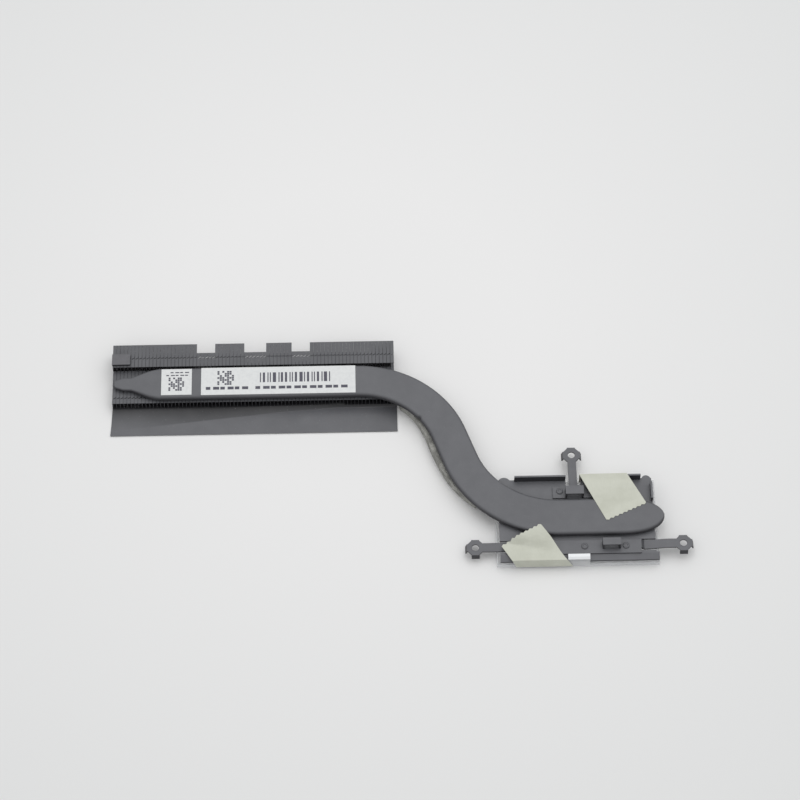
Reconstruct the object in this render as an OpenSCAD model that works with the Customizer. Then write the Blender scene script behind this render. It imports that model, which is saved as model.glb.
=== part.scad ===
// Flat heat pipe cooling module: one flattened pipe between a stack of folded fins and a sprung base plate.
// Units are millimetres, +Z is up, +X runs from the crimped pipe end to the plate end, +Y points to the raised back
// strip of the fin stack. The origin is the middle of the underside of the whole module.

/* [Fin stack] */
// number of folded fins in the stack
fin_count = 77; // [60:1:90]
// distance from one fin to the next
fin_pitch = 1.2156; // [1.0:0.0004:1.4]
// sheet thickness of a fin
fin_sheet = 0.2; // [0.1:0.05:0.3]
// height of the raised back strip above the table
stack_h = 6.6; // [5:0.1:9]
// height of the ledge that carries the pipe
ledge_h = 4.0; // [3:0.1:6]
// depth of the stack from front to back
stack_depth = 21.3; // [18:0.1:26]
// depth of the raised back strip
strip_depth = 8.7; // [6:0.1:11]
// depth of the notches in the back edge
notch_depth = 3.55; // [1:0.05:4.5]
// height of the relief under the front of the fins
relief_h = 0.9; // [0.3:0.1:2]
// depth of that relief, where the film is glued
relief_depth = 3.5; // [2:0.1:6]
// open seam between a flange and the next fin
seam = 0.03; // [0.02:0.01:0.2]
// distance of the back interlock line from the back edge
lock_back = 5.3; // [4.5:0.1:7]
// distance of the front interlock line from the front edge
lock_front = 2.1; // [1:0.1:4]
// reach of one slanted interlock slot
lock_size = 0.9; // [0.3:0.05:1.0]
// width of one interlock slot
lock_slot = 0.3; // [0.1:0.05:0.5]

/* [Heat pipe] */
// pipe width on the fins
pipe_w_fins = 12.0; // [9:0.1:13]
// pipe width in the first bend
pipe_w_bend = 11.7; // [9:0.1:13]
// pipe width on the base plate
pipe_w_plate = 13.1; // [10:0.1:14]
// pipe thickness
pipe_t = 2.4; // [1.5:0.1:3]
// radius of the first bend at the pipe centre
bend_1_r = 31.6; // [25:0.1:40]
// radius of the second bend at the pipe centre
bend_2_r = 33.5; // [25:0.1:40]
// angle the pipe turns in each bend
bend_angle = 70.6; // [50:0.1:85]
// straight length between the bends
mid_straight = 10.7; // [2:0.1:20]
// length of the tapered crimp at the closed left end
crimp_len = 15.0; // [10:0.1:20]
// length over which the right end is rounded off
cap_len = 15.0; // [8:0.1:20]
// how far the crimped tip sits behind the middle of the pipe
tip_shift = 0.3; // [0:0.05:0.8]
// depth of the wrinkle inside the first bend
wrinkle = 0.45; // [0:0.05:0.6]

/* [Base plate] */
// length of the base plate
plate_len = 50.2; // [45:0.1:58]
// depth of the flat of the plate from the back flange to the front fold
plate_depth = 27.8; // [26:0.1:32]
// sheet thickness of the base plate
plate_t = 0.6; // [0.4:0.1:1.0]
// height of the folded flange above the plate
flange_h = 2.8; // [1.5:0.1:3.4]
// length of the sloping front flange
front_flange = 2.25; // [1:0.05:3]
// slope of the front flange below the horizontal
front_slope = 20; // [5:1:60]

/* [Spring brackets] */
// sheet thickness of the spring brackets
spring_t = 0.5; // [0.3:0.1:0.8]
// distance between the two lower ear holes
ear_span = 67.0; // [60:0.1:75]
// distance of the upper ear hole behind the line of the lower ones
ear_rise = 33.4; // [28:0.1:38]
// width of the ear across its flats
ear_w = 5.4; // [4.6:0.1:7]
// diameter of the ear holes
ear_hole_d = 2.3; // [2.0:0.1:2.6]
// how much higher the free right ear stands than the left one
right_lift = 0.8; // [0:0.1:1.2]
// outward splay of the folded ear tabs
tab_splay = 14; // [0:1:35]
// width of the lower arms
lower_arm_w = 3.2; // [2.4:0.1:4]
// width of the upper arm
upper_arm_w = 2.8; // [2.4:0.1:4]
// depth of the lower bracket strip
bracket_depth = 4.9; // [4:0.1:6]
// height of the raised bridges above the bracket
bridge_h = 2.7; // [1:0.1:3]
// length of the raised bridges
bridge_len = 5.9; // [4:0.1:8]
// head diameter of the rivets
rivet_d = 2.2; // [1.6:0.1:2.6]

/* [Soft parts] */
// width of the masking tape
tape_w = 14.6; // [12:0.1:18]
// thickness of the masking tape
tape_t = 0.15; // [0.1:0.05:0.3]
// width of the foam strip under the bend
foam_w = 9.0; // [6:0.1:11]
// how far the foam strip bows out from the middle of the pipe
foam_bow = 2.4; // [0:0.1:3]
// thickness of the air film
film_t = 0.15; // [0.1:0.05:0.4]
// side of the small square label
label_side = 10.1; // [8:0.1:11]
// length of the long label
label_len = 51.2; // [40:0.1:55]
// depth of the long label across the pipe
label_depth = 10.6; // [8:0.1:11]
// height of the end pad
pad_h = 0.8; // [0.4:0.1:1.5]

/* [Hidden] */

c_black = [0.165, 0.167, 0.180];
c_fin = [0.150, 0.152, 0.165];
c_film = [0.11, 0.112, 0.12];
c_label = [0.86, 0.86, 0.88];
c_ink = [0.12, 0.12, 0.16];
c_foam = [0.45, 0.45, 0.44];
c_tape = [0.78, 0.785, 0.72];
c_copper = [0.72, 0.43, 0.30];
c_paste = [0.62, 0.63, 0.65];
c_clear = [0.86, 0.89, 0.92];

// the fin stack sits in the back left corner of the frame
stack_x = -94.09;
stack_back = 42.05;
stack_front = stack_back - stack_depth;
strip_front = stack_back - strip_depth;
stack_len = fin_count * fin_pitch;

// first fin of each run between the notches
runs = [0, 23, 28, 36, 42, 49, 54, fin_count];

// pipe path, measured along the centre line from the start of the first bend
pipe_gap = 0.2;
pipe_x0 = stack_x + stack_len - 12.3;
pipe_y0 = strip_front - pipe_gap - pipe_w_fins / 2;
tip_s = stack_x + 0.5 - pipe_x0;
arc_1 = bend_1_r * bend_angle * PI / 180;
arc_2 = bend_2_r * bend_angle * PI / 180;
s_mid = arc_1 + mid_straight;
s_out = s_mid + arc_2;
bend_1_end = [pipe_x0 + bend_1_r * sin(bend_angle), pipe_y0 - bend_1_r * (1 - cos(bend_angle))];
mid_end = bend_1_end + mid_straight * [cos(bend_angle), -sin(bend_angle)];
bend_2_c = mid_end + bend_2_r * [sin(bend_angle), cos(bend_angle)];
plate_pipe_y = bend_2_c[1] - bend_2_r;
plate_x0 = bend_2_c[0] - 19.9;
cap_x = plate_x0 + plate_len + 3.3;
end_s = s_out + cap_x - bend_2_c[0];
pipe_top = ledge_h + pipe_t;
pipe_front_edge = plate_pipe_y - pipe_w_plate / 2;
pipe_back_edge = plate_pipe_y + pipe_w_plate / 2;

// base plate datums
plate_x1 = plate_x0 + plate_len;
plate_top = ledge_h;
plate_bot = plate_top - plate_t;
plate_back = pipe_back_edge + 8.5;
plate_front = plate_back - plate_depth;
bracket_top = plate_top + spring_t;
bridge_top = bracket_top + bridge_h;
slot_len = 5.2;

ear_out = 7.9;
ear_y = pipe_front_edge - 2.9;
ear_left = [plate_x0 - ear_out, ear_y];
ear_right = ear_left + [ear_span, 0];
ear_top = [plate_x0 + 24.6, ear_y + ear_rise];
ear_z = plate_top - 0.6;
ear_top_z = bracket_top;
slot_back = ear_y + lower_arm_w / 2 + 0.2;
slot_front = ear_y - lower_arm_w / 2 - 0.8;

// lower strip and upper bar of the spring brackets
bracket_back = pipe_front_edge - 1.5;
bracket_front = bracket_back - bracket_depth;
bracket_x0 = plate_x0 + slot_len - 0.4;
bracket_x1 = plate_x1 - slot_len + 0.4;
lower_bridge_x = plate_x0 + 32.9;
lower_bridge_front = bracket_front + 1.6;
lower_bridge_back = bracket_back - 0.7;
bar_x0 = plate_x0 + 17.8;
bar_x1 = plate_x0 + 32.0;
bar_back = plate_back - 3.1;
bar_front = bar_back - 4.2;
upper_bridge_x = ear_top[0] - 2.7;
upper_bridge_back = bar_front + 3.1;
tab_len = 1.6;
tab_w = 2.6;

function clamp(v, a, b) = min(max(v, a), b);
function smooth(u) = let(t = clamp(u, 0, 1)) t * t * (3 - 2 * t);

// position and heading of the pipe centre line at the distance s
function pipe_at(s) =
    s <= 0 ? [pipe_x0 + s, pipe_y0, 0] :
    s <= arc_1 ? let(a = s / bend_1_r * 180 / PI)
        [pipe_x0 + bend_1_r * sin(a), pipe_y0 - bend_1_r * (1 - cos(a)), -a] :
    s <= s_mid ? let(d = s - arc_1)
        [bend_1_end[0] + d * cos(bend_angle), bend_1_end[1] - d * sin(bend_angle), -bend_angle] :
    s <= s_out ? let(a = bend_angle - (s - s_mid) / bend_2_r * 180 / PI)
        [bend_2_c[0] - bend_2_r * sin(a), bend_2_c[1] - bend_2_r * cos(a), -a] :
    [bend_2_c[0] + s - s_out, plate_pipe_y, 0];

// width of the pipe along its length, with the crimp at the left and the rounded right end
function crimp_u(s) = (s - tip_s) / crimp_len;
function crimp_w(s) = lookup(crimp_u(s), [[0, 1.8], [0.05, 3.2], [0.20, 4.9], [0.38, 5.1], [0.50, 6.6],
    [0.62, 8.3], [0.77, 10.3], [0.90, 11.4], [1, pipe_w_fins]]);
function cap_u(s) = clamp((s - (end_s - cap_len)) / cap_len, 0, 0.992);
function body_w(s) =
    s <= -12 ? pipe_w_fins :
    s <= 16 ? pipe_w_fins + (pipe_w_bend - pipe_w_fins) * smooth((s + 12) / 28) :
    pipe_w_bend + (pipe_w_plate - pipe_w_bend) * smooth((s - 50) / (s_out - 50));
function pipe_w(s) = crimp_u(s) < 1 ? crimp_w(s) :
    max(2.6, body_w(s) * pow(1 - pow(cap_u(s), 2.5), 0.5));
function pipe_thick(s) = crimp_u(s) < 1 ?
    lookup(crimp_u(s), [[0, 1.0], [0.12, 1.4], [0.40, 1.6], [0.68, 2.1], [1, pipe_t]]) : pipe_t;
function pipe_low(s) = ledge_h + (pipe_t - pipe_thick(s)) / 2;
function pipe_shift(s) = tip_shift * clamp(1 - crimp_u(s), 0, 1);

wrinkle_s = 0.72 * arc_1;
function wrinkle_at(s) = wrinkle * exp(-pow((s - wrinkle_s) / 0.8, 2));

// cross section with half round sides: list of [across, up]
side_n = 7;
function oval(w, t, dent) = let(r = t / 2, h = w / 2 - r)
    concat([for (i = [0 : side_n]) let(a = 90 - 180 * i / side_n) [dent - h - r * cos(a), r + r * sin(a)]],
        [for (i = [0 : side_n]) let(a = -90 + 180 * i / side_n) [h + r * cos(a), r + r * sin(a)]]);
function to_world(s, p, z0) = let(c = pipe_at(s))
    [c[0] - p[0] * sin(c[2]), c[1] + p[0] * cos(c[2]), z0 + p[1]];

module sweep(sections) {
    n = len(sections[0]);
    m = len(sections);
    points = [for (sec = sections) for (p = sec) p];
    sides = [for (i = [0 : m - 2]) for (j = [0 : n - 1]) for (k = [0, 1])
        let(a = i * n + j, b = i * n + (j + 1) % n, c = (i + 1) * n + (j + 1) % n, d = (i + 1) * n + j)
            k == 0 ? [a, b, c] : [a, c, d]];
    ends = [[for (j = [n - 1 : -1 : 0]) j], [for (j = [0 : n - 1]) (m - 1) * n + j]];
    polyhedron(points, concat(sides, ends));
}

pipe_stations = concat(
    [for (u = [0, 0.05, 0.12, 0.20, 0.29, 0.38, 0.50, 0.62, 0.77, 0.90, 1]) tip_s + u * crimp_len],
    [-12, -6, 0],
    [for (i = [1 : 13]) arc_1 * i / 20],
    [for (d = [-1.6, -0.8, -0.4, 0, 0.4, 0.8, 1.6]) wrinkle_s + d],
    [for (i = [16 : 20]) arc_1 * i / 20],
    [for (i = [1 : 2]) arc_1 + mid_straight * i / 2],
    [for (i = [1 : 16]) s_mid + arc_2 * i / 16],
    [end_s - cap_len],
    [for (u = [0.2, 0.35, 0.5, 0.62, 0.73, 0.82, 0.89, 0.94, 0.97, 0.992]) end_s - cap_len + u * cap_len]);

// a flange from y0 back to y1 with a slanted interlock slot in its free edge at y
module flange(y0, y1, y, z) {
    reach = fin_pitch - seam;
    h = lock_size / 2;
    translate([0, 0, z - fin_sheet]) linear_extrude(height = fin_sheet) polygon([[0, y1], [0, y0], [reach, y0],
        [reach, y + h - lock_slot], [reach - lock_size, y - h], [reach - lock_size, y - h + lock_slot],
        [reach, y + h], [reach, y1]]);
}

// one folded fin: a web with flanges towards the next fin
module fin(x, back) {
    translate([x, 0, 0]) {
        rotate([90, 0, 90]) linear_extrude(height = fin_sheet) polygon([[back, 0], [back, stack_h],
            [strip_front, stack_h], [strip_front, ledge_h], [stack_front, ledge_h], [stack_front, relief_h],
            [stack_front + relief_depth, relief_h], [stack_front + relief_depth, 0]]);
        flange(strip_front, back, stack_back - lock_back, stack_h);
        flange(stack_front, strip_front + 0.2, stack_front + lock_front, ledge_h);
        translate([0, stack_front + relief_depth + 0.2, 0])
            cube([fin_pitch - seam, back - stack_front - relief_depth - 0.2, fin_sheet]);
    }
}

module fin_run(k, back) {
    color(c_fin) for (i = [runs[k] : runs[k + 1] - 1]) fin(stack_x + i * fin_pitch, back);
}

module fins_left_block() fin_run(0, stack_back);
module fins_notch_1() fin_run(1, stack_back - notch_depth);
module fins_block_2() fin_run(2, stack_back);
module fins_notch_2() fin_run(3, stack_back - notch_depth);
module fins_block_3() fin_run(4, stack_back);
module fins_notch_3() fin_run(5, stack_back - notch_depth);
module fins_right_block() fin_run(6, stack_back);

module heat_pipe() {
    color(c_black) sweep([for (s = pipe_stations)
        [for (p = oval(pipe_w(s), pipe_thick(s), wrinkle_at(s))) to_world(s, p + [pipe_shift(s), 0], pipe_low(s))]]);
}

module end_pad() {
    color(c_black) translate([stack_x - 0.2, strip_front + 0.6, stack_h]) cube([6.0, 4.1, pad_h]);
}

// a thin sheet from an upper and a lower grid of points; rows step to the right, columns to the front
module sheet(top, low) {
    r = len(top[0]);
    n = len(top);
    o = n * r;
    m = r - 1;
    along = [for (i = [0 : n - 2]) for (j = [0 : m - 1]) [i * r + j, i * r + j + 1, (i + 1) * r + j + 1, (i + 1) * r + j]];
    rim = concat([for (i = [0 : n - 2]) [i * r, (i + 1) * r]],
        [for (j = [0 : m - 1]) [(n - 1) * r + j, (n - 1) * r + j + 1]],
        [for (i = [n - 1 : -1 : 1]) [i * r + m, (i - 1) * r + m]], [for (j = [m : -1 : 1]) [j, j - 1]]);
    polyhedron(concat([for (row = top) each row], [for (row = low) each row]), concat(
        [for (q = along) each [[q[0], q[3], q[2]], [q[0], q[2], q[1]]]],
        [for (q = along) each [[o + q[0], o + q[2], o + q[3]], [o + q[0], o + q[1], o + q[2]]]],
        [for (e = rim) each [[e[0], o + e[0], o + e[1]], [e[0], o + e[1], e[1]]]]));
}

// the film: glued under the relief, falling from there to a crease that runs back to the fins on the right
film_m = 14;
film_us = [0, 0.015, 0.05, 0.1, 0.15, 0.2, 0.25, 0.3, 0.35, 0.4, 0.46, 0.52, 0.58, 0.64, 0.7, 0.76, 0.82, 0.88, 0.94,
    0.985, 1];
film_back = stack_front + relief_depth - 0.3;
film_z0 = relief_h - film_t;
film_lift = 0.3;
crease_m = 6;
function film_x(u, y) = let(f = clamp((stack_front - y) / 10, 0, 1))
    (stack_x - 0.1 - 0.5 * f) * (1 - u) + (stack_x + stack_len + 0.75) * u;
function film_front(u) = 10.4 + 0.8 * u + (u < 0.01 ? 0.9 : u > 0.99 ? 0.5 : 0);
function film_crease(u) = lookup(u, [[0, 8.5], [0.35, 4.6], [0.6, 2.0], [0.78, 0.7], [1, 0.6]]);
function film_curve(u) = 3 - 1.9 * smooth(u / 0.4);
function film_y(u, v) = v == 0 ? film_back :
    v <= crease_m ? stack_front - film_crease(u) * (v - 1) / (crease_m - 1) :
    let(c = stack_front - film_crease(u)) c + (film_front(u) - c) * (v - crease_m) / (film_m - crease_m);
function film_z(u, y) = let(d = stack_front - y)
    film_z0 * pow(1 - clamp(d / film_crease(u), 0, 1), film_curve(u)) + film_lift * pow(clamp((d - 5) / 6, 0, 1), 2);

module air_film() {
    function grid(dz) = [for (u = film_us) [for (v = [0 : film_m]) let(y = film_y(u, v))
        [film_x(u, y), y, film_z(u, y) + dz]]];
    color(c_film) sheet(grid(film_t), grid(0));
}

// labels on the pipe, with plain blocks, bars and lines as print
label_y = pipe_y0 + 0.15;
label_t = 0.1;
ink_t = 0.03;
small_x = stack_x + 16.3;
long_x = small_x + label_side + 3.1;

module label(x, len, depth) {
    color(c_label) translate([x, label_y - depth / 2, pipe_top]) cube([len, depth, label_t]);
}
module label_small() label(small_x, label_side, label_side);
module label_long() label(long_x, label_len, label_depth);

module ink(x, y, w, d) translate([x, y, pipe_top + label_t]) cube([w, d, ink_t]);
module code_block(x, y, side, n) {
    step = side / n;
    for (i = [0 : n - 1]) for (j = [0 : n - 1]) if ((3 * i * i + 5 * j * j + 7 * i * j + i + 2 * j) % 5 < 3)
        ink(x + i * step, y + j * step, step * 0.84, step * 0.84);
}
module word_line(x, y, len, d, n) {
    step = len / n;
    for (i = [0 : n - 1]) ink(x + i * step, y, step * (0.62 + 0.22 * (i % 2)), d);
}
bars = [1, 2, 1, 1, 3, 1, 2, 2, 1, 1, 2, 3, 1, 2, 1, 1, 2, 1, 3, 1];
function bar_start(i) = i == 0 ? 0 : bar_start(i - 1) + bars[i - 1] + 1.2 + 0.5 * (i % 3);

module label_marks() {
    back = label_y + label_side / 2;
    lback = label_y + label_depth / 2;
    last = len(bars) - 1;
    unit = 23.3 / (bar_start(last) + bars[last]);
    color(c_ink) {
        code_block(small_x + 2.4, back - 8.5, 5.3, 7);
        word_line(small_x + 3.0, back - 1.6, 6.4, 0.4, 4);
        word_line(small_x + 1.6, back - 2.7, 7.8, 0.4, 5);
        code_block(long_x + 5.4, lback - 6.8, 5.6, 7);
        for (i = [0 : last]) ink(long_x + 19.5 + bar_start(i) * unit, lback - 6.0, bars[i] * unit, 3.8);
        word_line(long_x + 1.6, lback - 8.6, 14.4, 1.1, 6);
        word_line(long_x + 18.0, lback - 8.6, 31.0, 1.1, 12);
    }
}

// foam strip between the pipe and the table side, bowed towards the inside of the bend
foam_s0 = 17.0;
foam_s1 = s_out - 26.5;
foam_low = 0.7;
function foam_c(s) = -0.3 - foam_bow * pow(sin(180 * clamp((s - foam_s0) / (foam_s1 + 2 - foam_s0), 0, 1)), 1.3);
module foam_strip() {
    n = 22;
    color(c_foam) sweep([for (i = [0 : n]) let(s = foam_s0 + (foam_s1 - foam_s0) * i / n, c = foam_c(s))
        [for (p = [[c - foam_w / 2, ledge_h - foam_low], [c - foam_w / 2, 0], [c + foam_w / 2, 0],
            [c + foam_w / 2, ledge_h - foam_low]]) to_world(s, p, foam_low)]]);
}

rivet_shank = 1.5;
lower_rivets = [for (d = [27.2, 40.5]) [plate_x0 + d, bracket_back - 2.25]];
upper_rivets = [for (d = [20.1, 30.1]) [plate_x0 + d, bar_back - 1.7]];
all_rivets = concat(lower_rivets, upper_rivets);
module rivet_holes(points) for (p = points) translate(p) circle(d = rivet_shank + 0.06, $fn = 24);

arm_gap = [ear_top[0] - upper_arm_w / 2 - 1.0, ear_top[0] + upper_arm_w / 2 + 1.1];
module plate_outline() {
    difference() {
        union() {
            translate([plate_x0, plate_front]) square([plate_len, plate_depth]);
            translate([plate_x0 + 2.2, plate_back - 1.1]) circle(r = 2.1, $fn = 32);
            translate([plate_x1 - 1.7, plate_back - 0.5]) circle(r = 1.5, $fn = 32);
        }
        translate([plate_x0 - 3, plate_back - 0.9]) square([3.05, 3]);
        translate([plate_x0 + 4.3, plate_back]) square([1, 3]);
        translate([arm_gap[0], plate_back - 2.3]) square([arm_gap[1] - arm_gap[0], 5]);
        translate([plate_x0 - 1, slot_front]) square([slot_len + 1, slot_back - slot_front]);
        translate([plate_x1 - slot_len, slot_front]) square([slot_len + 3, slot_back - slot_front]);
        rivet_holes(all_rivets);
    }
}

module base_plate() {
    z1 = plate_top + flange_h;
    dy = front_flange * cos(front_slope);
    dz = front_flange * sin(front_slope);
    color(c_black) {
        translate([0, 0, plate_bot]) linear_extrude(height = plate_t) plate_outline();
        for (seg = [[plate_x0 + 5.5, arm_gap[0]], [arm_gap[1], plate_x1 - 3.6]])
            translate([seg[0], plate_back - plate_t, plate_bot]) cube([seg[1] - seg[0], plate_t, z1 - plate_bot]);
        translate([plate_x1 - plate_t, plate_back - 8.8, plate_bot]) cube([plate_t, 6.4, z1 - 0.5 - plate_bot]);
        translate([plate_x0, 0, 0]) rotate([90, 0, 90]) linear_extrude(height = plate_len + 1) polygon([
            [plate_front + 0.35, plate_bot], [plate_front + 0.35, plate_top], [plate_front, plate_top],
            [plate_front - dy, plate_top - dz], [plate_front - dy, plate_top - dz - plate_t],
            [plate_front, plate_bot]]);
    }
}

// one ear: octagon with a hole and folded tabs at the given sides
module ear(at, z, sides) {
    f = ear_w / 2;
    d = tab_len * tan(tab_splay);
    translate([at[0], at[1], z - spring_t]) {
        difference() {
            linear_extrude(height = spring_t) rotate(22.5) circle(r = f / cos(22.5), $fn = 8);
            translate([0, 0, -1]) cylinder(h = spring_t + 2, d = ear_hole_d, $fn = 40);
        }
        for (a = sides) rotate([0, 0, a]) rotate([90, 0, 0]) linear_extrude(height = tab_w, center = true)
            polygon([[f - 0.45, 0], [f - 0.45, spring_t], [f + 0.1, spring_t], [f + 0.2 + d, spring_t - tab_len],
                [f - 0.2 + d, spring_t - tab_len], [f - 0.25, 0]]);
    }
}

// a raised bridge and the window it leaves in the strip
module bridge(x, y0, y1) {
    t = spring_t;
    for (e = [x, x + bridge_len - t]) translate([e, y0, plate_top]) cube([t, y1 - y0, bridge_top - plate_top]);
    translate([x, y0, bridge_top - t]) cube([bridge_len, y1 - y0, t]);
}
module bridge_window(x, y0, y1) translate([x + spring_t, y0]) square([bridge_len - 2 * spring_t, y1 - y0]);

// an arm from the bracket end at x to the ear: down into the slot of the plate, then out to the height z_end;
// m = 1 to the right, m = -1 to the left
drop = 1.1;
module lower_arm(x, m, reach, z_end) {
    t = spring_t;
    z = plate_top - 0.6;
    side = [[-0.4, bracket_top], [0.1, bracket_top], [drop, z], [reach - 3, z_end], [reach, z_end]];
    translate([0, ear_y, 0]) rotate([90, 0, 0]) linear_extrude(height = lower_arm_w, center = true) polygon([
        for (p = concat(side, [for (i = [4 : -1 : 0]) side[i] - [i == 1 || i == 2 ? 0.25 : 0, t]])) [x + m * p[0], p[1]]]);
}

module lower_spring_bracket() {
    color(c_black) {
        translate([0, 0, plate_top]) linear_extrude(height = spring_t) difference() {
            translate([bracket_x0, bracket_front]) square([bracket_x1 - bracket_x0, bracket_depth]);
            bridge_window(lower_bridge_x, lower_bridge_front, lower_bridge_back);
            rivet_holes(lower_rivets);
        }
        bridge(lower_bridge_x, lower_bridge_front, lower_bridge_back);
        lower_arm(bracket_x1, 1, ear_right[0] - bracket_x1 - ear_w / 2 + 0.3, ear_z + right_lift);
        lower_arm(bracket_x0, -1, bracket_x0 - ear_left[0] - ear_w / 2 + 0.3, ear_z);
        ear(ear_right, ear_z + right_lift, [0, 90, 270]);
        ear(ear_left, ear_z, [90, 180, 270]);
    }
}

module upper_spring_bracket() {
    root = bar_back - 0.4;
    color(c_black) {
        translate([0, 0, plate_top]) linear_extrude(height = spring_t) difference() {
            translate([bar_x0, bar_front]) square([bar_x1 - bar_x0, bar_back - bar_front]);
            bridge_window(upper_bridge_x, bar_front - 1, upper_bridge_back);
            rivet_holes(upper_rivets);
        }
        bridge(upper_bridge_x, bar_front, upper_bridge_back);
        translate([ear_top[0] - upper_arm_w / 2, root, ear_top_z - spring_t])
            cube([upper_arm_w, ear_top[1] - ear_w / 2 + 0.3 - root, spring_t]);
        ear(ear_top, ear_top_z, [0, 90, 180]);
    }
}

module rivets() {
    r = rivet_d / 2;
    color(c_black) for (p = all_rivets) translate([p[0], p[1], 0]) rotate_extrude($fn = 24) polygon([
        [0, plate_bot], [rivet_shank / 2, plate_bot], [rivet_shank / 2, bracket_top], [r, bracket_top],
        [r, bracket_top + 0.18], [r - 0.25, bracket_top + 0.34], [r - 0.5, bracket_top + 0.34],
        [r - 0.65, bracket_top + 0.2], [0, bracket_top + 0.2]]);
}

// both are centred under the pipe
block_size = [22, 16.5, 2.2];
paste_size = [16, 12, 0.2];
module under_plate(size, top) {
    translate([plate_x0 + plate_len / 2 - size[0] / 2, plate_pipe_y + 0.5 - size[1] / 2, top - size[2]]) cube(size);
}
module contact_block() color(c_copper) under_plate(block_size, plate_bot);
module thermal_paste() color(c_paste) under_plate(paste_size, plate_bot - block_size[2]);

cover_gap = 1.05;
cover_x0 = plate_x0 - cover_gap;
cover_x1 = plate_x1 + cover_gap;
cover_back = plate_back + 0.5;
cover_front = plate_front - front_flange * cos(front_slope) - 0.3;
cover_t = 0.35;
cover_h = 1.6;
post = 3;
hook_x0 = plate_x0 + 21.7;
hook_x1 = hook_x0 + 7.1;
module paste_cover() {
    color(c_clear) {
        difference() {
            translate([cover_x0, cover_front, 0]) cube([cover_x1 - cover_x0, cover_back - cover_front, cover_h]);
            translate([cover_x0 + cover_t, cover_front + cover_t, cover_t])
                cube([cover_x1 - cover_x0 - 2 * cover_t, cover_back - cover_front - 2 * cover_t, cover_h]);
        }
        for (x = [plate_x0 + 5.8, plate_x1 - 8.8]) for (y = [plate_front + 1.2, plate_back - 5.6])
            translate([x, y, 0]) cube([post, post, plate_bot]);
        translate([hook_x0, 0, 0]) rotate([90, 0, 90]) linear_extrude(height = hook_x1 - hook_x0) polygon([
            [cover_front + 0.3, 0], [cover_front, 0], [cover_front, 3.2], [cover_front + 0.2, 4.3],
            [cover_front + 0.9, 4.8], [cover_front + 2.0, 4.8], [cover_front + 2.15, 4.6],
            [cover_front + 2.0, 4.45], [cover_front + 1.0, 4.45], [cover_front + 0.5, 4.05],
            [cover_front + 0.2, 3.1]]);
    }
}

function lerp3(a, b, u) = a + (b - a) * u;
function plane_z(p, a, b, c) = let(n = cross(b - a, c - a)) a[2] - (n[0] * (p[0] - a[0]) + n[1] * (p[1] - a[1])) / n[2];
// the same grid of points moved in by the tape's thickness, each column in its own direction
function under(grid, dirs) = [for (row = grid) [for (j = [0 : len(row) - 1]) row[j] + tape_t * dirs[j]]];

// teeth of the torn ends
teeth = 9;
tooth = 0.45;

// back tape: over the back flange and down to the top of the pipe, torn across at the front end
bt_dir = [0.423, -0.906];
bt_left = [plate_x0 + 0.53 * plate_len, plate_back + 0.15];
bt_top = plate_top + flange_h + tape_t + 0.03;
bt_pipe = pipe_top + tape_t + 0.05;
bt_len = 18.7;
bt_fold = (bt_left[1] - (pipe_back_edge - pipe_t / 2)) / -bt_dir[1];
wrap_low = 0.5;
module tape_back() {
    a = [bt_left[0], bt_left[1], bt_top];
    b = [bt_left[0] + 1.06 * tape_w, bt_left[1] + 0.15, bt_top];
    fold = bt_left + bt_dir * bt_fold;
    m = [fold[0], fold[1], bt_pipe];
    end_left = bt_left + bt_dir * bt_len;
    end_right = end_left + tape_w * [-bt_dir[1], bt_dir[0]];
    d = [end_left[0], end_left[1], bt_pipe];
    fold_right = lerp3([b[0], b[1]], end_right, 0.95);
    n = [fold_right[0], fold_right[1], plane_z(fold_right, a, b, m)];
    wrap_y = cover_back + 0.3;
    top = [for (i = [0 : 2 * teeth]) let(u = i / (2 * teeth), e = lerp3(end_left, end_right, u) + bt_dir * tooth * (i % 2))
        [[a[0] + 0.2 + u * (b[0] - a[0] - 0.1), wrap_y, wrap_low], lerp3(a, b, u), lerp3(m, n, u),
            [e[0], e[1], plane_z(e, m, n, d)]]];
    color(c_tape) sheet(top, under(top, [[0, -1, 0], [0, -1, -1], [0, 0, -1], [0, 0, -1]]));
}

// front tape: from the pipe down over the lower bracket and the front edge, torn across at the back end
ft_left = [plate_x0 + 0.5, pipe_front_edge - 3.35];
ft_dir = [0.4688, -0.8833];
ft_low = bracket_top + tape_t + 0.05;
ft_high = pipe_top + tape_t + 0.1;
ft_bottom = 1.1;
ft_m = 9;
module tape_front() {
    right = ft_left + tape_w * [-ft_dir[1], ft_dir[0]];
    fold_left = [plate_x0 + 3.7, cover_front - 0.1];
    fold_right = [plate_x0 + 21.4, cover_front - 0.1];
    function drape(p, u) = let(shoulder = pipe_front_edge + 0.2, foot = pipe_front_edge - 1.5 - 5.5 * u)
        [p[0], p[1], ft_low + (ft_high - ft_low) * smooth((p[1] - foot) / (shoulder - foot))];
    top = [for (i = [0 : 2 * teeth]) let(u = i / (2 * teeth), f = lerp3(fold_left, fold_right, u),
        e = lerp3(ft_left, right, u) - ft_dir * tooth * (i % 2))
        concat([for (j = [0 : ft_m]) drape(lerp3(e, f, j / ft_m), u)],
            [[f[0] + 1.4 + 0.5 * u, cover_front - 0.5, ft_bottom]])];
    color(c_tape) sheet(top, under(top, [for (j = [0 : ft_m + 1]) j < ft_m ? [0, 0, -1] : j == ft_m ? [0, 1, -1] :
        [0, 1, 0]]));
}

fins_left_block();
fins_notch_1();
fins_block_2();
fins_notch_2();
fins_block_3();
fins_notch_3();
fins_right_block();
heat_pipe();
end_pad();
air_film();
label_small();
label_long();
label_marks();
foam_strip();
base_plate();
lower_spring_bracket();
upper_spring_bracket();
rivets();
contact_block();
thermal_paste();
paste_cover();
tape_back();
tape_front();
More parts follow.
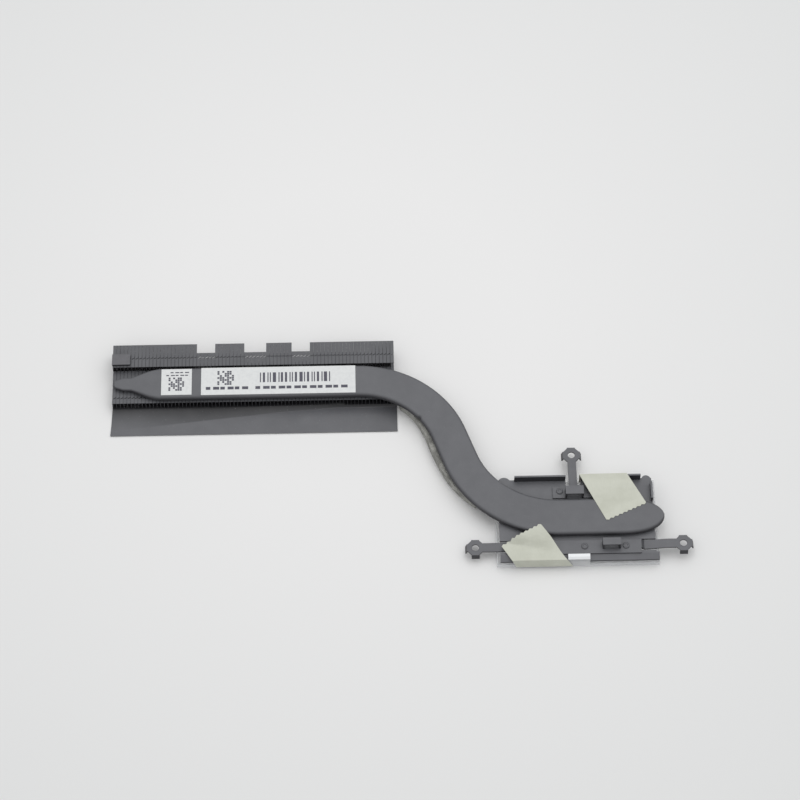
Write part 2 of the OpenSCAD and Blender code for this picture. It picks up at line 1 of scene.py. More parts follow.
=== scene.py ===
"""Looks of the flat heat pipe cooling module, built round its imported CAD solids.

Units are metres in the CAD frame. +X runs from the crimped pipe end to the base plate end, +Y points to
the raised back strip of the fins, +Z is up, and the module lies on z = 0.
"""

import math

import bpy
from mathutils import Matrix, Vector, noise


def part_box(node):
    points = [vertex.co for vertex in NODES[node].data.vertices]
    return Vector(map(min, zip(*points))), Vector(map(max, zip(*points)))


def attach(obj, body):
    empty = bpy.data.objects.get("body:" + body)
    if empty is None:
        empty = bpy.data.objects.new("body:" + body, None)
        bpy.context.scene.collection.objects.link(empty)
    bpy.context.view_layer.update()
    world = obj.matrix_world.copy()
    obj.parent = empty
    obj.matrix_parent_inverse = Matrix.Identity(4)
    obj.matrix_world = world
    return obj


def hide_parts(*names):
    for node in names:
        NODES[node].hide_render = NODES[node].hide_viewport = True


MM = 0.001
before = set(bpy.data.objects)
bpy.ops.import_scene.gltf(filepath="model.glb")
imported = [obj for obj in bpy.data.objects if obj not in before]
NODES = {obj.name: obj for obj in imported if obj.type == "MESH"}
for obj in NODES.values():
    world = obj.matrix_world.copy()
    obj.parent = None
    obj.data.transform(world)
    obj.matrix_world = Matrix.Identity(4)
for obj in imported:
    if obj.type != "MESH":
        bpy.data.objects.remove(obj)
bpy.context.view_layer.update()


# ---------------------------------------------------------------- camera
CAMERA_ELEVATION = math.radians(58.0)
CAMERA_YAW = math.radians(1.2)
CAMERA_DISTANCE = 999 * MM
CAMERA_TARGET = Vector((1.31 * MM, 22.75 * MM, 0))
CAMERA_LENS_MM = 135


def make_camera():
    data = bpy.data.cameras.new("camera")
    data.lens = CAMERA_LENS_MM
    data.sensor_width = 36
    data.clip_start = 0.05
    data.clip_end = 20
    camera = bpy.data.objects.new("camera", data)
    bpy.context.scene.collection.objects.link(camera)
    flat = math.cos(CAMERA_ELEVATION)
    back = Vector((-math.sin(CAMERA_YAW) * flat, -math.cos(CAMERA_YAW) * flat, math.sin(CAMERA_ELEVATION)))
    camera.location = CAMERA_TARGET + back * CAMERA_DISTANCE
    camera.rotation_mode = "QUATERNION"
    camera.rotation_quaternion = (-back).to_track_quat("-Z", "Y")
    bpy.context.scene.camera = camera


make_camera()


# ---------------------------------------------------------------- materials
def srgb(r, g, b):
    """Linear colour from 0-255 display values."""
    shares = (r / 255, g / 255, b / 255)
    return tuple(c / 12.92 if c <= 0.04045 else ((c + 0.055) / 1.055) ** 2.4 for c in shares)


def clamp(value):
    """The value, kept between 0 and 1."""
    return min(1.0, max(0.0, value))


FIN_COUNT = 77
FIN_SEAM = 0.03 * MM
STACK_X0, STACK_X1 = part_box("fins_left_block")[0].x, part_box("fins_right_block")[1].x
FIN_PITCH = (STACK_X1 + FIN_SEAM - STACK_X0) / FIN_COUNT
FIRST_SEAM_X = STACK_X0 - FIN_SEAM / 2


class Nodes:
    """A short way to write a material's node tree."""

    def __init__(self, name):
        self.material = bpy.data.materials.new(name)
        self.material.use_nodes = True
        self.tree = self.material.node_tree
        self.shader = self.tree.nodes["Principled BSDF"]
        self.place = self.new("ShaderNodeTexCoord").outputs["Object"]

    def new(self, kind, **settings):
        node = self.tree.nodes.new(kind)
        for key, value in settings.items():
            setattr(node, key, value)
        return node

    def link(self, source, target):
        self.tree.links.new(source, target)

    def set(self, **sockets):
        for key, value in sockets.items():
            name = key.replace("_", " ")
            self.shader.inputs[name].default_value = (*value, 1) if isinstance(value, tuple) else value

    def color(self, source):
        self.link(source, self.shader.inputs["Base Color"])

    def roughness(self, source):
        self.link(source, self.shader.inputs["Roughness"])

    def along(self, vector, axis):
        """One coordinate of a vector socket."""
        split = self.new("ShaderNodeSeparateXYZ")
        self.link(vector, split.inputs["Vector"])
        return split.outputs[axis]

    def math(self, operation, value, number=0.0):
        node = self.new("ShaderNodeMath", operation=operation)
        self.link(value, node.inputs[0])
        node.inputs[1].default_value = number
        return node.outputs[0]

    def seam_distance(self, pitch):
        """Distance along X to the nearest seam between two fins, in metres."""
        offset = self.math("SUBTRACT", self.along(self.place, "X"), FIRST_SEAM_X)
        return self.math("PINGPONG", offset, pitch / 2)

    def facing_up(self, low, high):
        """0 on upright faces, 1 on level ones that look up."""
        normal = self.new("ShaderNodeNewGeometry").outputs["Normal"]
        return self.spread(self.along(normal, "Z"), low, high, 0, 1)

    def facing_front(self, low, high):
        """1 on faces that look to the front or the back, 0 on the rest."""
        normal = self.new("ShaderNodeNewGeometry").outputs["Normal"]
        return self.spread(self.math("ABSOLUTE", self.along(normal, "Y")), low, high, 0, 1)

    def scaled(self, factors, turn=0.0):
        """Object coordinates, turned about Z and stretched."""
        node = self.new("ShaderNodeMapping")
        self.link(self.place, node.inputs["Vector"])
        node.inputs["Scale"].default_value = factors
        node.inputs["Rotation"].default_value = (0, 0, turn)
        return node.outputs["Vector"]

    def noise(self, scale, detail=3.0, rough=0.55, vector=None):
        """Noise whose grain is about 1 / scale metres."""
        node = self.new("ShaderNodeTexNoise")
        self.link(vector or self.place, node.inputs["Vector"])
        node.inputs["Scale"].default_value = scale
        node.inputs["Detail"].default_value = detail
        node.inputs["Roughness"].default_value = rough
        return node.outputs["Fac"]

    def spread(self, value, low, high, to_low, to_high):
        """The value, taken from one range to another."""
        node = self.new("ShaderNodeMapRange")
        self.link(value, node.inputs["Value"])
        for key, number in zip(("From Min", "From Max", "To Min", "To Max"), (low, high, to_low, to_high)):
            node.inputs[key].default_value = number
        return node.outputs["Result"]

    def mix(self, factor, a, b):
        """Colour between a and b; each is a colour or a socket."""
        node = self.new("ShaderNodeMix", data_type="RGBA")
        self.link(factor, node.inputs["Factor"])
        for socket, value in ((node.inputs["A"], a), (node.inputs["B"], b)):
            if isinstance(value, tuple):
                socket.default_value = (*value, 1)
            else:
                self.link(value, socket)
        return node.outputs["Result"]

    def bump(self, height, depth, after=None):
        """Adds a bump of that depth in metres, on top of an earlier one."""
        node = self.new("ShaderNodeBump")
        node.inputs["Strength"].default_value = 1.0
        node.inputs["Distance"].default_value = depth
        self.link(height, node.inputs["Height"])
        if after is not None:
            self.link(after, node.inputs["Normal"])
        self.link(node.outputs["Normal"], self.shader.inputs["Normal"])
        return node.outputs["Normal"]


# Painted shade: the coating's colour on upright faces and along fin seams.
PAINTED_SHADE_SIDE = srgb(50, 50, 54)
COATING_SPECK = srgb(128, 129, 132)
# Painted light: a pale colour that lifts the fin walls inside the dark channels between fins.
PAINTED_LIGHT_FIN_WALL = srgb(150, 150, 154)
# Width and fade of the painted shade along each seam between fins.
SEAM_SHADE_LINE, SEAM_SHADE_FADE = 0.06 * MM, 0.14 * MM


def coating(name, dark, light, roughness, grain=2600, pitch=0.0):
    """Matte black coating: tops painted paler than upright faces, which are painted dark as shade; fine grain
    and a few specks; at a fin pitch, painted light on the fin walls and painted shade along the seams.
    """
    m = Nodes(name)
    side = PAINTED_SHADE_SIDE
    cloud = m.spread(m.noise(90, 4), 0.35, 0.65, 0, 1)
    speck = m.spread(m.noise(grain, 2), 0.62, 0.74, 0, 0.2)
    if pitch:
        # Fins: painted light on the walls inside the channels, painted shade on faces that look to the front
        # or back.
        side = m.mix(m.facing_front(0.3, 0.8), PAINTED_LIGHT_FIN_WALL, PAINTED_SHADE_SIDE)
    # Lit and shaded copies of one coating: tops painted paler, upright faces painted in shade.
    tone = m.mix(m.facing_up(0.4, 0.95), side, m.mix(cloud, dark, light))
    if pitch:
        # Painted shade: dark lines along the gaps between fins.
        off_painted_seam_shade = m.spread(m.seam_distance(pitch), SEAM_SHADE_LINE, SEAM_SHADE_FADE, 0, 1)
        tone = m.mix(off_painted_seam_shade, PAINTED_SHADE_SIDE, tone)
    m.color(m.mix(speck, tone, COATING_SPECK))
    m.roughness(m.spread(m.noise(420, 3), 0.3, 0.7, roughness - 0.05, roughness + 0.05))
    fine = m.bump(m.noise(grain, 3), 0.012 * MM)
    m.bump(m.noise(130, 2), 0.05 * MM, after=fine)
    return m.material


# Name of the film's point attribute of painted shade: 0 painted dark, 1 unshaded.
FILM_SHADE = "film_shade"


def film_material():
    """Thin dark plastic film: satin, with soft clouds and faint specks, and painted shade that darkens it
    under the fins and behind its fold.
    """
    m = Nodes("film")
    shade = m.new("ShaderNodeAttribute", attribute_name=FILM_SHADE).outputs["Fac"]
    cloud = m.mix(m.spread(m.noise(70, 3), 0.3, 0.7, 0, 1), srgb(90, 91, 95), srgb(98, 99, 103))
    # Painted shade: the film goes dark where its shade attribute is low.
    tone = m.mix(shade, srgb(34, 34, 37), cloud)
    specks = m.spread(m.noise(2200, 2), 0.68, 0.76, 0, 0.5)
    m.color(m.mix(specks, tone, srgb(140, 141, 145)))
    m.roughness(m.spread(m.noise(250, 3), 0.3, 0.7, 0.36, 0.46))
    m.bump(m.noise(700, 2), 0.008 * MM)
    return m.material


def paper_material(name, tone, fleck):
    """Uncoated label paper: near white with soft fibres."""
    m = Nodes(name)
    fibres = m.spread(m.noise(900, 4), 0.4, 0.7, 0, 1)
    m.color(m.mix(fibres, tone, fleck))
    m.set(Roughness=0.6)
    m.bump(m.noise(1500, 3), 0.01 * MM)
    return m.material


def ink_material():
    """Dark print, slightly uneven."""
    m = Nodes("ink")
    m.color(m.mix(m.noise(1800, 3), srgb(54, 54, 66), srgb(92, 92, 104)))
    m.set(Roughness=0.55)
    return m.material


def tape_material(name, turn):
    """Crepe masking tape: short fine wrinkles, broad soft creases, a slightly patchy glue tone."""
    m = Nodes(name)
    crepe = m.noise(1, 4, 0.6, m.scaled((2600, 500, 900), turn))
    patch = m.spread(m.noise(160, 3), 0.35, 0.7, 0, 1)
    tone = m.mix(patch, srgb(203, 205, 193), srgb(192, 194, 181))
    m.color(m.mix(m.spread(crepe, 0.35, 0.7, 0, 0.16), tone, srgb(176, 178, 166)))
    m.set(Roughness=0.7)
    creased = m.bump(m.noise(1, 2, 0.4, m.scaled((90, 330, 200), turn / 4)), 0.5 * MM)
    m.bump(crepe, 0.02 * MM, after=creased)
    return m.material


def foam_material():
    """Open grey foam: mottled, with dark pores."""
    m = Nodes("foam")
    cloud = m.mix(m.spread(m.noise(420, 4), 0.35, 0.65, 0, 1), srgb(128, 128, 124), srgb(166, 166, 161))
    pores = m.spread(m.noise(2400, 3), 0.5, 0.7, 0, 0.6)
    m.color(m.mix(pores, cloud, srgb(96, 96, 94)))
    m.set(Roughness=0.95)
    m.bump(m.noise(1700, 4), 0.12 * MM)
    return m.material


def pad_material():
    """Thin black rubber pad: top painted paler as lit and mottled, sides painted dark as shade."""
    m = Nodes("pad")
    painted_lit_top = m.mix(m.noise(1300, 4), srgb(88, 88, 92), srgb(108, 108, 112))
    # Painted shade on the sides, painted light on the top.
    m.color(m.mix(m.facing_up(0.3, 0.9), srgb(48, 48, 51), painted_lit_top))
    m.set(Roughness=0.6)
    m.bump(m.noise(2000, 3), 0.02 * MM)
    return m.material


def copper_material():
    """Brushed copper of the contact block."""
    m = Nodes("copper")
    brush = m.noise(1, 4, vector=m.scaled((60, 2600, 2600)))
    m.color(m.mix(brush, srgb(196, 128, 96), srgb(222, 158, 126)))
    m.set(Metallic=1.0)
    m.roughness(m.spread(brush, 0.3, 0.7, 0.28, 0.42))
    m.bump(brush, 0.01 * MM)
    return m.material


def paste_material():
    """Pale grey thermal paste with a soft uneven surface."""
    m = Nodes("paste")
    m.color(m.mix(m.noise(600, 3), srgb(168, 170, 174), srgb(188, 190, 194)))
    m.set(Roughness=0.5)
    m.bump(m.noise(500, 3), 0.06 * MM)
    return m.material


HOOK_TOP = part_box("paste_cover")[1].z
# Heights where the painted highlight on the hook's top fades in.
HOOK_HIGHLIGHT_LOW, HOOK_HIGHLIGHT_HIGH = HOOK_TOP - 0.7 * MM, HOOK_TOP - 0.4 * MM


def clear_material():
    """Thin clear moulded plastic: a pale haze; where the hook folds over the plate, a painted highlight makes
    it nearly opaque white, and glossier.
    """
    m = Nodes("clear")
    hook_highlight = m.spread(m.along(m.place, "Z"), HOOK_HIGHLIGHT_LOW, HOOK_HIGHLIGHT_HIGH, 0, 1)
    m.set(Base_Color=(0.86, 0.88, 0.9))
    # Painted highlight: the hook's top turns nearly opaque white.
    m.link(m.spread(hook_highlight, 0, 1, 0.34, 0.96), m.shader.inputs["Alpha"])
    m.roughness(m.spread(hook_highlight, 0, 1, 0.3, 0.12))
    return m.material


MATERIALS = {
    "pipe": coating("pipe_coating", srgb(92, 93, 97), srgb(96, 97, 101), 0.5),
    "fins": coating("fin_coating", srgb(86, 87, 91), srgb(92, 93, 97), 0.52, 2000, pitch=FIN_PITCH),
    "plate": coating("plate_coating", srgb(96, 97, 101), srgb(102, 103, 107), 0.48),
    "bracket": coating("bracket_coating", srgb(92, 93, 97), srgb(98, 99, 103), 0.46),
    "film": film_material(),
    "label": paper_material("label_paper", srgb(221, 223, 223), srgb(213, 215, 216)),
    "ink": ink_material(),
    "tape_back": tape_material("tape_back_crepe", math.radians(-65)),
    "tape_front": tape_material("tape_front_crepe", math.radians(-62)),
    "foam": foam_material(),
    "pad": pad_material(),
    "copper": copper_material(),
    "paste": paste_material(),
    "clear": clear_material(),
}


# ---------------------------------------------------------------- mesh helpers
def piece(name, points, faces, material, replaced):
    """A smooth-shaded mesh piece in the CAD frame that stands for a CAD node."""
    mesh = bpy.data.meshes.new(name)
    mesh.from_pydata([tuple(p) for p in points], [], faces)
    mesh.validate()
    for polygon in mesh.polygons:
        polygon.use_smooth = True
    mesh.materials.append(MATERIALS[material])
    made = bpy.data.objects.new(name, mesh)
    bpy.context.scene.collection.objects.link(made)
    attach(made, "root")
    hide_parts(replaced)
    return made


def sweep(sections):
    """Points and faces of a closed solid through sections with the same number of points."""
    n = len(sections[0])
    points = [p for section in sections for p in section]
    faces = []
    for i in range(len(sections) - 1):
        for j in range(n):
            k = (j + 1) % n
            faces.append((i * n + j, i * n + k, (i + 1) * n + k, (i + 1) * n + j))
    faces.append(tuple(range(n - 1, -1, -1)))
    faces.append(tuple((len(sections) - 1) * n + j for j in range(n)))
    return points, faces


def sheet(rows, thickness):
    """Points and faces of a thin closed sheet from rows of top points; the underside is straight below."""
    m, n = len(rows), len(rows[0])
    top = [Vector(p) for row in rows for p in row]
    points = top + [p + Vector((0, 0, -thickness)) for p in top]
    low = m * n
    faces = []
    for i in range(m - 1):
        for j in range(n - 1):
            a, b, c, d = i * n + j, i * n + j + 1, (i + 1) * n + j + 1, (i + 1) * n + j
            faces.append((a, b, c, d))
            faces.append((low + d, low + c, low + b, low + a))
    rim = [i * n for i in range(m)] + [(m - 1) * n + j for j in range(1, n)]
    rim += [i * n + n - 1 for i in range(m - 2, -1, -1)] + [j for j in range(n - 2, 0, -1)]
    for a, b in zip(rim, rim[1:] + rim[:1]):
        faces.append((a, b, low + b, low + a))
    return points, faces


def smoothstep(u):
    """A smooth rise from 0 to 1."""
    t = clamp(u)
    return t * t * (3 - 2 * t)


def straight_table(value, table):
    """Straight-line reading of a short list of (place, value) pairs."""
    for (x0, y0), (x1, y1) in zip(table, table[1:]):
        if value <= x1:
            return y0 + (y1 - y0) * max(0.0, (value - x0) / (x1 - x0))
    return table[-1][1]


WELD_REACH = 0.001 * MM
SHARP_EDGE = math.radians(40)


def soft_edges(node, material, width=0.08 * MM, segments=2):
    """A CAD node with its own material and small rounded edges."""
    made = NODES[node]
    made.data.materials.clear()
    made.data.materials.append(MATERIALS[material])
    weld = made.modifiers.new("weld", "WELD")
    weld.merge_threshold = WELD_REACH
    bevel = made.modifiers.new("edges", "BEVEL")
    bevel.width = width
    bevel.segments = segments
    bevel.limit_method = "ANGLE"
    bevel.angle_limit = SHARP_EDGE
    bevel.harden_normals = False


# ---------------------------------------------------------------- heat pipe
PIPE_LO, PIPE_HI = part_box("heat_pipe")
PIPE_T = PIPE_HI.z - PIPE_LO.z
PIPE_W_FINS, PIPE_W_BEND, PIPE_W_PLATE = 12.0 * MM, 11.7 * MM, 13.1 * MM
BEND_1_R, BEND_2_R = 31.6 * MM, 33.5 * MM
BEND_ANGLE = math.radians(70.6)
MID_STRAIGHT = 10.7 * MM
CRIMP_LEN, CAP_LEN = 15.0 * MM, 15.0 * MM
PIPE_Y = PIPE_HI.y - PIPE_W_FINS / 2
ARC_1, ARC_2 = BEND_1_R * BEND_ANGLE, BEND_2_R * BEND_ANGLE
S_MID = ARC_1 + MID_STRAIGHT
S_OUT = S_MID + ARC_2
BEND_INSET = 12.3 * MM
BEND_X = STACK_X1 + FIN_SEAM - BEND_INSET
TIP_S = PIPE_LO.x - BEND_X
WRINKLE_S = 0.72 * ARC_1
WRINKLE = 0.45 * MM
WRINKLE_REACH, WRINKLE_ZONE = 0.8 * MM, 3 * MM
STRAIGHT_END = -14 * MM
TIP_SHIFT = 0.3 * MM
CAP_SHARE, CAP_POWER, CAP_MIN_W = 0.995, 2.5, 1.6 * MM
BEND_WIDTH_FROM, BEND_WIDTH_TO = -12 * MM, 16 * MM
PLATE_WIDTH_FROM = 50 * MM
SIDE_STEPS, FLAT_STEPS, END_STEPS = 12, 6, 40
STEP_STRAIGHT, STEP_BEND, STEP_WRINKLE = 4 * MM, 0.8 * MM, 0.15 * MM
CRIMP_WIDTHS = [
    (0, 1.8),
    (0.05, 3.2),
    (0.20, 4.9),
    (0.38, 5.1),
    (0.50, 6.6),
    (0.62, 8.3),
    (0.77, 10.3),
    (0.90, 11.4),
    (1, 12.0),
]
CRIMP_THICKNESS = [(0, 1.0), (0.12, 1.4), (0.40, 1.6), (0.68, 2.1), (1, PIPE_T / MM)]


def turned(x, y, heading, length):
    """The point that lies that far along the heading."""
    return x + length * math.cos(heading), y + length * math.sin(heading)


def pipe_centre(s):
    """Place and heading of the pipe's centre line, s metres after the start of the first bend."""
    x, y, heading = BEND_X, PIPE_Y, 0.0
    if s <= 0:
        return x + s, y, heading
    a = min(s, ARC_1) / BEND_1_R
    x, y = x + BEND_1_R * math.sin(a), y - BEND_1_R * (1 - math.cos(a))
    if s <= ARC_1:
        return x, y, -a
    x, y = turned(x, y, -BEND_ANGLE, min(s, S_MID) - ARC_1)
    if s <= S_MID:
        return x, y, -BEND_ANGLE
    cx, cy = x + BEND_2_R * math.sin(BEND_ANGLE), y + BEND_2_R * math.cos(BEND_ANGLE)
    a = BEND_ANGLE - (min(s, S_OUT) - S_MID) / BEND_2_R
    x, y = cx - BEND_2_R * math.sin(a), cy - BEND_2_R * math.cos(a)
    return (x, y, -a) if s <= S_OUT else (x + s - S_OUT, y, 0.0)


END_S = S_OUT + PIPE_HI.x - pipe_centre(S_OUT)[0]


def pipe_width(s):
    """Width of the pipe: crimped tip, nearly even bends, wider on the plate, round end."""
    u = (s - TIP_S) / CRIMP_LEN
    if u < 1:
        return straight_table(u, CRIMP_WIDTHS) * MM
    into_bend = smoothstep((s - BEND_WIDTH_FROM) / (BEND_WIDTH_TO - BEND_WIDTH_FROM))
    width = PIPE_W_FINS + (PIPE_W_BEND - PIPE_W_FINS) * into_bend
    if s > BEND_WIDTH_TO:
        onto_plate = smoothstep((s - PLATE_WIDTH_FROM) / (S_OUT - PLATE_WIDTH_FROM))
        width = PIPE_W_BEND + (PIPE_W_PLATE - PIPE_W_BEND) * onto_plate
    cap = clamp((s - END_S + CAP_LEN) / CAP_LEN) * CAP_SHARE
    return max(CAP_MIN_W, width * (1 - cap**CAP_POWER) ** 0.5)


def pipe_thickness(s):
    """Thickness of the pipe, thinner in the crimp."""
    return straight_table((s - TIP_S) / CRIMP_LEN, CRIMP_THICKNESS) * MM


def pipe_section(s):
    """A ring of points round the pipe: two half-round sides joined by two flats, dented at the wrinkle."""
    x, y, heading = pipe_centre(s)
    t = pipe_thickness(s)
    half = pipe_width(s) / 2
    r = min(t / 2, half * 0.98)
    dent = WRINKLE * math.exp(-(((s - WRINKLE_S) / WRINKLE_REACH) ** 2))
    shift = TIP_SHIFT * max(0.0, 1 - (s - TIP_S) / CRIMP_LEN)
    ring = []
    for side, start in ((-1, 90), (1, -90)):
        for i in range(SIDE_STEPS + 1):
            a = math.radians(start + side * 180 * i / SIDE_STEPS)
            out = side * (half - r + r * abs(math.cos(a)))
            ring.append((out + (dent if side < 0 else 0), math.sin(a)))
        other = -side * (half - r)
        for i in range(1, FLAT_STEPS):
            ring.append((ring[-1][0] + (other - ring[-1][0]) / (FLAT_STEPS - i + 1), ring[-1][1]))
    middle = PIPE_LO.z + PIPE_T / 2
    points = []
    for across, up in ring:
        out = across + shift
        points.append((x - out * math.sin(heading), y + out * math.cos(heading), middle + up * t / 2))
    return points


def pipe_step(s):
    """Distance to the next section: long on the straight part, short at the wrinkle."""
    if abs(s - WRINKLE_S) < WRINKLE_ZONE:
        return STEP_WRINKLE
    return STEP_STRAIGHT if s < STRAIGHT_END else STEP_BEND


def make_pipe():
    """The heat pipe from its crimped tip to its round end."""
    stations = [TIP_S + CRIMP_LEN * i / END_STEPS for i in range(END_STEPS)]
    s = TIP_S + CRIMP_LEN
    while s < END_S - CAP_LEN:
        stations.append(s)
        s += pipe_step(s)
    for i in range(END_STEPS + 1):
        stations.append(END_S - CAP_LEN + CAP_LEN * math.sin(math.pi / 2 * i / END_STEPS))
    points, faces = sweep([pipe_section(s) for s in stations])
    made = piece("pipe_body", points, faces, "pipe", "heat_pipe")
    made.data.polygons[len(faces) - 1].use_smooth = False
    made.data.polygons[len(faces) - 2].use_smooth = False


make_pipe()


# ---------------------------------------------------------------- CAD nodes that keep their shape
FIN_NODES = [
    "fins_left_block",
    "fins_notch_1",
    "fins_block_2",
    "fins_notch_2",
    "fins_block_3",
    "fins_notch_3",
    "fins_right_block",
]
for fin_node in FIN_NODES:
    NODES[fin_node].data.materials.clear()
    NODES[fin_node].data.materials.append(MATERIALS["fins"])
soft_edges("end_pad", "pad", 0.12 * MM)
soft_edges("label_small", "label", 0.03 * MM)
soft_edges("label_long", "label", 0.03 * MM)
soft_edges("label_marks", "ink", 0.01 * MM, 1)
soft_edges("base_plate", "plate")
soft_edges("lower_spring_bracket", "bracket")
soft_edges("upper_spring_bracket", "bracket")
soft_edges("rivets", "bracket", 0.05 * MM)
soft_edges("contact_block", "copper", 0.2 * MM)
soft_edges("thermal_paste", "paste", 0.06 * MM)
soft_edges("paste_cover", "clear", 0.05 * MM)
soft_edges("tape_back", "tape_back", 0.03 * MM)
soft_edges("tape_front", "tape_front", 0.03 * MM)
soft_edges("foam_strip", "foam", 0.2 * MM)


# ---------------------------------------------------------------- plastic film under the pipe
FILM_LO, FILM_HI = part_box("air_film")
STACK_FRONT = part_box("fins_block_2")[0].y
FILM_T = 0.15 * MM
FILM_HIGH = FILM_HI.z - FILM_T
FILM_LIFT = 0.3 * MM
FILM_CREASE = [(0, 8.5), (0.35, 4.6), (0.6, 2.0), (0.78, 0.7), (1, 0.6)]
FILM_SKEW = 0.5 * MM
FILM_FOLD = 0.35 * MM
FILM_WAVE = 0.05 * MM
FILM_COLUMNS, FILM_BACK_ROWS, FILM_FRONT_ROWS = 200, 16, 28


FILM_DEPTH_LEFT, FILM_DEPTH_GAIN = 10.4, 0.8
FILM_CORNER_LEFT, FILM_CORNER_RIGHT = 0.9, 0.5
FILM_CURVE_LEFT, FILM_CURVE_DROP, FILM_CURVE_END = 3, 1.9, 0.4
FILM_LIFT_FROM, FILM_LIFT_REACH = 5 * MM, 6 * MM
FILM_SKEW_REACH, FILM_WAVE_REACH = 10 * MM, 3 * MM
FILM_WAVES_X, FILM_WAVES_Y = 90, 260


def film_sag(u, d):
    """Height of the film's underside, d metres in front of the fins: a fall, a crease, then a lifted edge."""
    crease = straight_table(u, FILM_CREASE) * MM
    fall = 1 - clamp(d / crease)
    lift = clamp((d - FILM_LIFT_FROM) / FILM_LIFT_REACH)
    curve = FILM_CURVE_LEFT - FILM_CURVE_DROP * smoothstep(u / FILM_CURVE_END)
    return FILM_HIGH * fall**curve + FILM_LIFT * lift**2


def film_shade(u, d):
    """Painted light on the film as a share: 0 (painted shade) under the fins, 1 in front of its crease."""
    crease = straight_table(u, FILM_CREASE) * MM
    fallen = clamp(d / crease)
    past = smoothstep((d - crease) / FILM_FOLD + 0.5)
    hook_highlight = smoothstep(u / FILM_CURVE_END)
    # Painted shade: a little darker towards the right end of the film.
    far = 1 - 0.12 * smoothstep((u - 0.7) / 0.3)
    return far * ((1 - hook_highlight) * fallen**0.7 + hook_highlight * (0.35 * fallen + 0.65 * past))


def film_reach(u):
    """Places of the film's points from the back to the front, measured from the front of the fins."""
    crease = straight_table(u, FILM_CREASE) * MM
    corner = FILM_CORNER_LEFT * (1 - smoothstep(u / 0.012))
    corner += FILM_CORNER_RIGHT * smoothstep((u - 0.985) / 0.015)
    front = min(STACK_FRONT - FILM_LO.y, (FILM_DEPTH_LEFT + FILM_DEPTH_GAIN * u + corner) * MM)
    behind = [-crease * j / FILM_BACK_ROWS for j in range(FILM_BACK_ROWS + 1)]
    before = [-crease - (front - crease) * j / FILM_FRONT_ROWS for j in range(1, FILM_FRONT_ROWS + 1)]
    return [FILM_HI.y - STACK_FRONT] + behind + before


def film_point(u, out):
    """A point of the film's top, out metres behind the front of the fins."""
    d = -out
    back_left = FILM_LO.x + FILM_SKEW * (1 - clamp(d / FILM_SKEW_REACH))
    x = back_left + u * (FILM_HI.x - back_left)
    ripple = noise.noise((x * FILM_WAVES_X, out * FILM_WAVES_Y, 0)) + 0.4
    wave = FILM_WAVE * ripple * clamp(d / FILM_WAVE_REACH)
    return x, STACK_FRONT + out, FILM_LO.z + film_sag(u, d) + max(0.0, wave) + FILM_T


def make_film():
    """The film as one fine sheet, with its painted shade kept as a point attribute."""
    rows, shades = [], []
    for i in range(FILM_COLUMNS + 1):
        u = i / FILM_COLUMNS
        reach = film_reach(u)
        rows.append([film_point(u, out) for out in reach])
        shades += [film_shade(u, -out) for out in reach]
    points, faces = sheet(rows, FILM_T)
    made = piece("air_film_sheet", points, faces, "film", "air_film")
    attribute = made.data.attributes.new(FILM_SHADE, "FLOAT", "POINT")
    attribute.data.foreach_set("value", shades + shades)
    made.data.set_sharp_from_angle(angle=math.radians(50))


make_film()


# ---------------------------------------------------------------- floor and light
# Painted light falloff on the table: its centre and reach.
FLOOR_FALLOFF_SHIFT = (15 * MM, -50 * MM, 0)
FLOOR_FALLOFF_FROM, FLOOR_FALLOFF_TO = 60 * MM, 220 * MM
FLOOR_HALF = 3.0


def make_floor():
    """A pale matte table, painted slightly darker away from the middle of the picture as a falloff of light.
    """
    m = Nodes("table_top")
    moved = m.new("ShaderNodeMapping")
    m.link(m.place, moved.inputs["Vector"])
    moved.inputs["Location"].default_value = FLOOR_FALLOFF_SHIFT
    far = m.new("ShaderNodeVectorMath", operation="LENGTH")
    m.link(moved.outputs["Vector"], far.inputs[0])
    painted_falloff = m.spread(far.outputs["Value"], FLOOR_FALLOFF_FROM, FLOOR_FALLOFF_TO, 0, 1)
    # Painted shade: the table darkens away from the centre.
    m.color(m.mix(painted_falloff, srgb(233, 233, 233), srgb(222, 223, 223)))
    m.set(Roughness=0.75)
    mesh = bpy.data.meshes.new("table_top")
    corners = [(x * FLOOR_HALF, y * FLOOR_HALF, 0) for x, y in ((-1, -1), (1, -1), (1, 1), (-1, 1))]
    mesh.from_pydata(corners, [], [(0, 1, 2, 3)])
    mesh.materials.append(m.material)
    floor = bpy.data.objects.new("table_top", mesh)
    bpy.context.scene.collection.objects.link(floor)


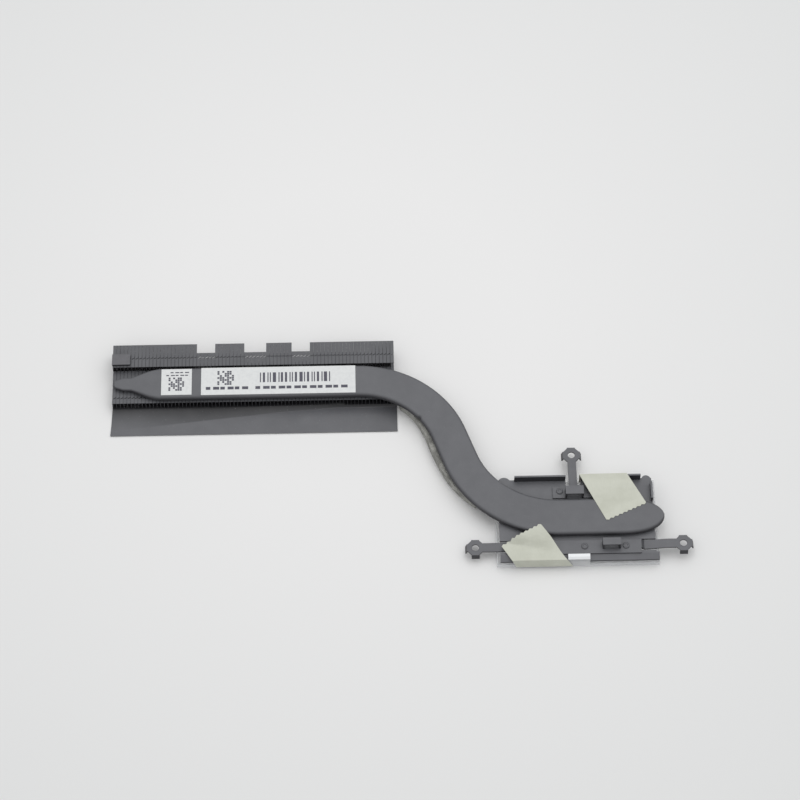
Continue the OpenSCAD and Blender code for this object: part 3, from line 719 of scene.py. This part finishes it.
def make_light(name, azimuth, elevation, distance, size, radiance):
    """A square softbox that looks at the module; azimuth 0 is behind it (+Y), positive to its right (+X)."""
    data = bpy.data.lights.new(name, "AREA")
    data.size = size
    data.energy = radiance * math.pi * size * size
    light = bpy.data.objects.new(name, data)
    bpy.context.scene.collection.objects.link(light)
    a, e = math.radians(azimuth), math.radians(elevation)
    away = Vector((math.sin(a) * math.cos(e), math.cos(a) * math.cos(e), math.sin(e)))
    light.location = away * distance
    light.rotation_mode = "QUATERNION"
    light.rotation_quaternion = away.to_track_quat("Z", "Y")


DOME_LOW, DOME_HIGH = 0.1, 0.85


def make_world(zenith, horizon, backdrop):
    """A dome that is bright overhead and dim at the horizon; only the camera sees the pale backdrop."""
    world = bpy.data.worlds.new("room")
    world.use_nodes = True
    tree = world.node_tree
    dome = tree.nodes["Background"]
    dome.inputs["Color"].default_value = (1, 1, 1, 1)
    direction = tree.nodes.new("ShaderNodeTexCoord").outputs["Generated"]
    split = tree.nodes.new("ShaderNodeSeparateXYZ")
    tree.links.new(direction, split.inputs["Vector"])
    ramp = tree.nodes.new("ShaderNodeMapRange")
    ramp.interpolation_type = "SMOOTHSTEP"
    tree.links.new(split.outputs["Z"], ramp.inputs["Value"])
    limits = (DOME_LOW, DOME_HIGH, horizon, zenith)
    for key, number in zip(("From Min", "From Max", "To Min", "To Max"), limits):
        ramp.inputs[key].default_value = number
    tree.links.new(ramp.outputs["Result"], dome.inputs["Strength"])
    seen = tree.nodes.new("ShaderNodeBackground")
    seen.inputs["Color"].default_value = (*backdrop, 1)
    mix = tree.nodes.new("ShaderNodeMixShader")
    ray = tree.nodes.new("ShaderNodeLightPath")
    tree.links.new(ray.outputs["Is Camera Ray"], mix.inputs["Fac"])
    tree.links.new(dome.outputs["Background"], mix.inputs[1])
    tree.links.new(seen.outputs["Background"], mix.inputs[2])
    tree.links.new(mix.outputs["Shader"], tree.nodes["World Output"].inputs["Surface"])
    bpy.context.scene.world = world


make_floor()
make_light("softbox", azimuth=25, elevation=68, distance=1.5, size=1.5, radiance=0.85)
make_world(zenith=0.95, horizon=0.36, backdrop=srgb(232, 232, 233))
bpy.context.scene.view_settings.view_transform = "Standard"
